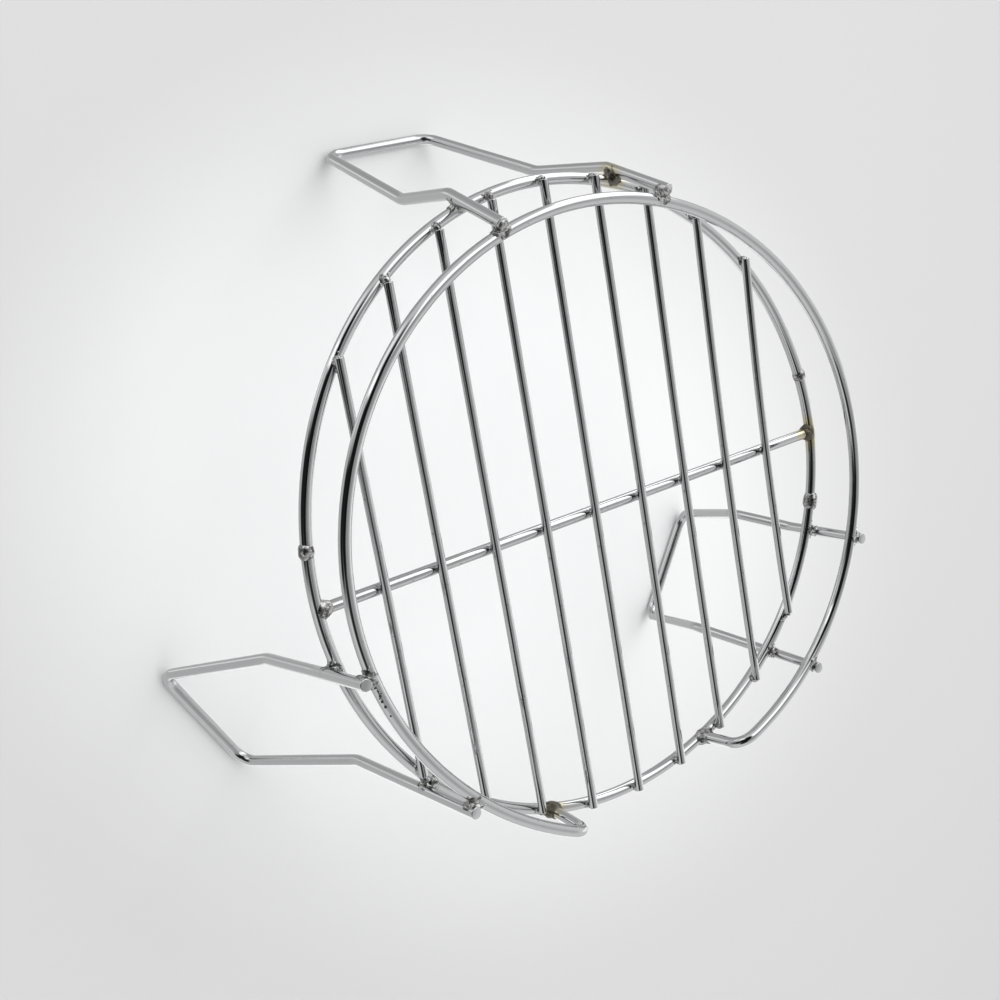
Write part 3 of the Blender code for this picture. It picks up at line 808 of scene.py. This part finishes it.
BAR_Z = (bar_low[2] + bar_high[2]) / 2
collars, flash = [], []
chance = np.random.default_rng(5)
for (number, end), (point, tangent) in bar_spots.items():
    low, high = box_of("grid_bar_%d" % number)
    x = bar_middle_x(number, float(np.clip(point[1], low[1], high[1])))
    on_wire = point + tangent * (x - point[0]) / tangent[0]
    on_bar = np.array([x, on_wire[1], BAR_Z])
    rods = [rod(on_wire, tangent, FAR, FAR, WIRE_R),
            rod(on_bar, np.array([0.0, 1.0, 0.0]), on_wire[1] - low[1], high[1] - on_wire[1], BAR_R)]
    swell = CROSS_SWELL if end == "cross" else RING_SWELL
    middle = np.array([x, on_wire[1], CONTACT_Z])
    seed = 100 + len(collars)
    collars.append(
        weld_grid(middle, rods, swell, COLLAR_SPREAD, seed, 24, 32, fill=COLLAR_FILL, rough=COLLAR_ROUGH))
    if end == "cross":
        continue
    across = np.cross(tangent, [0.0, 0.0, 1.0])
    for side in (-1.0, 1.0, chance.choice([-1.0, 1.0])):
        off, size = chance.uniform(-1.5, 1.5) * MM, chance.uniform(0.38, 0.68) * MM
        beside = tangent * side * (BAR_R / abs(tangent[0]) + chance.uniform(0.1, 0.7) * MM)
        rise = math.sqrt(WIRE_R**2 - off**2) + size * 0.25
        flash.append(drop(on_wire + beside + across * off + np.array([0, 0, rise]), size, 200 + len(flash)))
    tip_y = high[1] if end == "back" else low[1]
    for _ in range(2):
        shift = chance.uniform(-0.8, 0.8, 2) * MM
        size = chance.uniform(0.5, 0.8) * MM
        tip = np.array([x + shift[0], tip_y - math.copysign(0.35 * MM, tip_y), BAR_Z + abs(shift[1])])
        flash.append(drop(tip, size, 200 + len(flash)))
hand_over(joined("bar_joints", collars), None, bead_finish)
hand_over(joined("bar_flash", flash), None, flash_finish)
print(len(collars), "collars and", len(flash), "beads of flash")

# %% [markdown]
# ## Crumbs and spatter
# Bright crumbs cling to the rings on both sides of each leg. Beside one leg there is also a row of burnt
# beads on the guard rail, like the spatter of a torch. Each sits on a ring's skin at a bearing and at an
# angle round the wire, 0 being the side that faces away from the stand and 270 the top.
# %% Crumbs and spatter
# Bearing and angle round the wire in degrees, and size in mm, of each burnt bead.
SPATTER = ((193.6, 296, 0.45), (194.1, 284, 0.36), (194.5, 300, 0.62), (194.9, 314, 0.34), (195.5, 306, 0.60),
           (196.6, 304, 0.66), (198.5, 304, 0.50), (192.9, 312, 0.40))


def on_skin(point_at, bearing, around):
    """A ring's centreline + WIRE_R * (cos(around) * outward + sin(around) * the third direction)."""
    centre = point_at(bearing)
    away = outward(centre[None])[0]
    over = np.cross(ring_tangent(point_at, bearing), away)
    return centre + WIRE_R * (math.cos(math.radians(around)) * away + math.sin(math.radians(around)) * over)


crumbs = []
for (leg, side), contacts in leg_contacts.items():
    for contact, point_at in zip(contacts, (platform_point, guard_point)):
        for sign in (-1, 1, chance.choice([-1, 1])):
            place = bearing_of(contact) + sign * chance.uniform(1.1, 2.1)
            size = chance.uniform(0.35, 0.65) * MM
            crumbs.append(drop(on_skin(point_at, place, chance.uniform(275, 350)), size, 300 + len(crumbs)))
hand_over(joined("leg_crumbs", crumbs), None, flash_finish)

spatter = [drop(on_skin(guard_point, bearing, around), size * MM, 400 + int(bearing * 10))
           for bearing, around, size in SPATTER]
hand_over(joined("rail_spatter", spatter), None, burnt_finish)
print(len(crumbs), "crumbs and", len(spatter), "burnt beads")

# %% [markdown]
# ## The floor
# The stand is shown on a pale floor, a thin slab whose top just meets the foot bars. Its colour holds a
# painted pool of light under the stand, with painted shade darkening it further out. The wires don't mirror
# it, because they should show only the light tent that is painted further down.
# %% Floor
FLOOR_R, FLOOR_TOP, FLOOR_BOTTOM = 3.0, -0.05 * MM, -6.0 * MM
# The paler colour is a painted pool of light, and the darker one is the paper in painted shade.
PAPER_AND_PAINTED_SHADE, PAINTED_LIGHT_POOL = (0.665, 0.665, 0.665, 1.0), (0.93, 0.935, 0.94, 1.0)
# Each is a slope along X, a slope along Y and a value at the frame's middle, chosen to follow the camera:
# across and along are distances to the side of its line of sight, width is the distance ahead of it.
POOL_ACROSS, POOL_ALONG, POOL_WIDTH = (0.835, -0.185, 0.004), (0.28, 0.95, 0.026), (0.52, -0.25, 0.67)
spoke = (np.arange(96) * math.tau / 96)[None]
hoop = np.array([0.02, 0.3, 1.0, 1.0, 0.3, 0.02])[:, None] * FLOOR_R
height = np.repeat([FLOOR_TOP, FLOOR_BOTTOM], 3)[:, None]
slab = np.stack(np.broadcast_arrays(hoop * np.cos(spoke), hoop * np.sin(spoke), height), axis=-1)
floor = skin("floor", slab, flip=True)
floor.data.shade_flat()


def floor_paper_with_painted_light():
    """Matt paper with a painted pool of light under the stand, fading to painted shade further out: distance
    = sqrt(across^2 + along^2) / width. Width grows away from the camera, so the pool is egg-shaped on the
    floor and looks round from the camera."""
    material = bpy.data.materials.new("pale paper under a painted pool of light")
    material.use_nodes = True
    tree = material.node_tree
    shader = tree.nodes["Principled BSDF"]
    start = Signal(tree)
    place = start.node("ShaderNodeTexCoord", out=3)
    x, y = (start.node("ShaderNodeSeparateXYZ", {}, {0: place}, out=axis) for axis in (0, 1))
    across, along, width = (x * by_x + y * by_y + middle for by_x, by_y, middle in (
        POOL_ACROSS, POOL_ALONG, POOL_WIDTH))
    away = (across * across + along * along) ** 0.5 / start.math("MAXIMUM", width, 0.1)
    # Painted light and shade: the pool's colour near its middle, the paper's darker colour further out.
    shade = away.step(0.12, 0.39).blend(PAINTED_LIGHT_POOL, PAPER_AND_PAINTED_SHADE)
    tree.links.new(shade.socket, shader.inputs["Base Color"])
    shader.inputs["Roughness"].default_value = 0.9
    shader.inputs["Specular IOR Level"].default_value = 0.1
    return material


floor.data.materials.append(floor_paper_with_painted_light())
floor.visible_glossy = False
print("floor is", 2 * FLOOR_R, "m wide and takes shadows")

# %% [markdown]
# ## The light
# The stand is in a light tent. Chrome-like wire shows little but its surroundings, so the tent's pale walls,
# its bright panels and the dark openings matter more than any lamp. They are painted on the world by
# direction: walls first, then panels, then the openings that darken both, and last two more panels in front.
# The floor is lit by the tent and by one large lamp. The wires mirror neither the floor nor the lamp, so what
# is painted below the horizon stands in for the floor. The places and strengths were chosen for how the wires
# look from the camera, and are no survey of a real studio.
# %% Light
WALL, LEVEL_WALL, TOP_LOSS = 0.72, 0.23, 0.47
# Azimuth, elevation, half width, half height, softness, roll, radiance. Angles are in degrees.
PANELS = (
    (45, 12, 15, 34, 0.25, 0, 2.5),
    (64, 52, 27, 19, 0.35, 18, 2.1),
    (340, 0, 14, 28, 0.5, 0, 1.5),
    (280, -46, 24, 16, 0.5, 0, 1.5),
    (137, -48, 9, 20, 0.8, 0, 1.35),
)
FRONT_PANELS = ((122, -6, 13, 26, 0.6, 0, 1.5), (131, 0, 4.5, 26, 0.4, 0, 2.0))
# Round ones: azimuth, elevation, inner and outer angle. The square opening is written like a panel.
SHADE, UPPER_OPENING, SIDE_OPENING = (75, -35, 12, 45), (152, 48, 27, 43), (207, 46, 14, 28)
FRONT_OPENING = (172, 6, 22, 24, 0.4, 0)
BACKDROP = 0.72


def direction(azimuth, elevation):
    """The unit vector at an azimuth from +X and an elevation, in degrees."""
    a, e = math.radians(azimuth), math.radians(elevation)
    return Vector((math.cos(a) * math.cos(e), math.sin(a) * math.cos(e), math.sin(e)))


def studio():
    """Radiance by direction: pale walls that darken towards the top, bright panels and dark openings. The
    camera itself sees an even backdrop."""
    world = bpy.data.worlds.new("light tent")
    world.use_nodes = True
    tree = world.node_tree
    start = Signal(tree)
    ray = start.node("ShaderNodeTexCoord", out=0)
    ray = start.node("ShaderNodeVectorMath", {"operation": "NORMALIZE"}, {0: ray})

    def towards(vector):
        inputs = {0: ray, 1: tuple(vector)}
        return start.node("ShaderNodeVectorMath", {"operation": "DOT_PRODUCT"}, inputs, out=1)

    def round_patch(azimuth, elevation, inner, outer):
        """1 within the inner angle of a direction, 0 past the outer one."""
        facing = towards(direction(azimuth, elevation))
        return facing.step(math.cos(math.radians(outer)), math.cos(math.radians(inner)))

    def panel(azimuth, elevation, half_width, half_height, soft, roll):
        """1 inside a rectangle seen in a direction, from its two slopes across and up, 0 outside."""
        ahead = direction(azimuth, elevation)
        side = Vector((0, 0, 1)).cross(ahead).normalized()
        up = ahead.cross(side)
        turn = math.radians(roll)
        side, up = side * math.cos(turn) + up * math.sin(turn), up * math.cos(turn) - side * math.sin(turn)
        depth = towards(ahead)
        safe = start.math("MAXIMUM", depth, 0.01)
        mask = depth.step(0.0, 0.1)
        for axis, half in ((side, half_width), (up, half_height)):
            slope = start.math("ABSOLUTE", towards(axis) / safe)
            edge = math.tan(math.radians(half))
            mask = mask * (1 - slope.step(edge * (1 - soft), edge * (1 + soft)))
        return mask

    height = towards((0, 0, 1))
    light = WALL + height.step(-0.45, 0.02) * LEVEL_WALL - height.step(0.55, 0.95) * TOP_LOSS
    light = light * (1 - round_patch(*SHADE) * 0.25)
    for *place, radiance in PANELS:
        light = start.math("MAXIMUM", light, panel(*place) * radiance)
    dark = start.math("MAXIMUM", round_patch(*UPPER_OPENING), panel(*FRONT_OPENING))
    dark = start.math("MAXIMUM", dark, round_patch(*SIDE_OPENING) * 0.97)
    light = light * (1 - dark * 0.98)
    for *place, radiance in FRONT_PANELS:
        light = start.math("MAXIMUM", light, panel(*place) * radiance)
    seen = start.node("ShaderNodeLightPath", out=0)
    shown = seen * BACKDROP + (1 - seen) * light
    background = tree.nodes["Background"]
    tree.links.new(shown.socket, background.inputs["Strength"])
    background.inputs["Color"].default_value = (1.0, 1.0, 1.0, 1.0)
    bpy.context.scene.world = world


studio()
LAMP_WIDTH, LAMP_POWER, LAMP_AT = 1.6, 13.4, (0.1, 0.2, 1.6)
lamp = bpy.data.objects.new("overhead", bpy.data.lights.new("overhead", "AREA"))
lamp.data.shape = "DISK"
lamp.data.size = LAMP_WIDTH
lamp.data.energy = LAMP_POWER
lamp.location = LAMP_AT
lamp.visible_glossy = False
bpy.context.scene.collection.objects.link(lamp)
print("studio is lit")
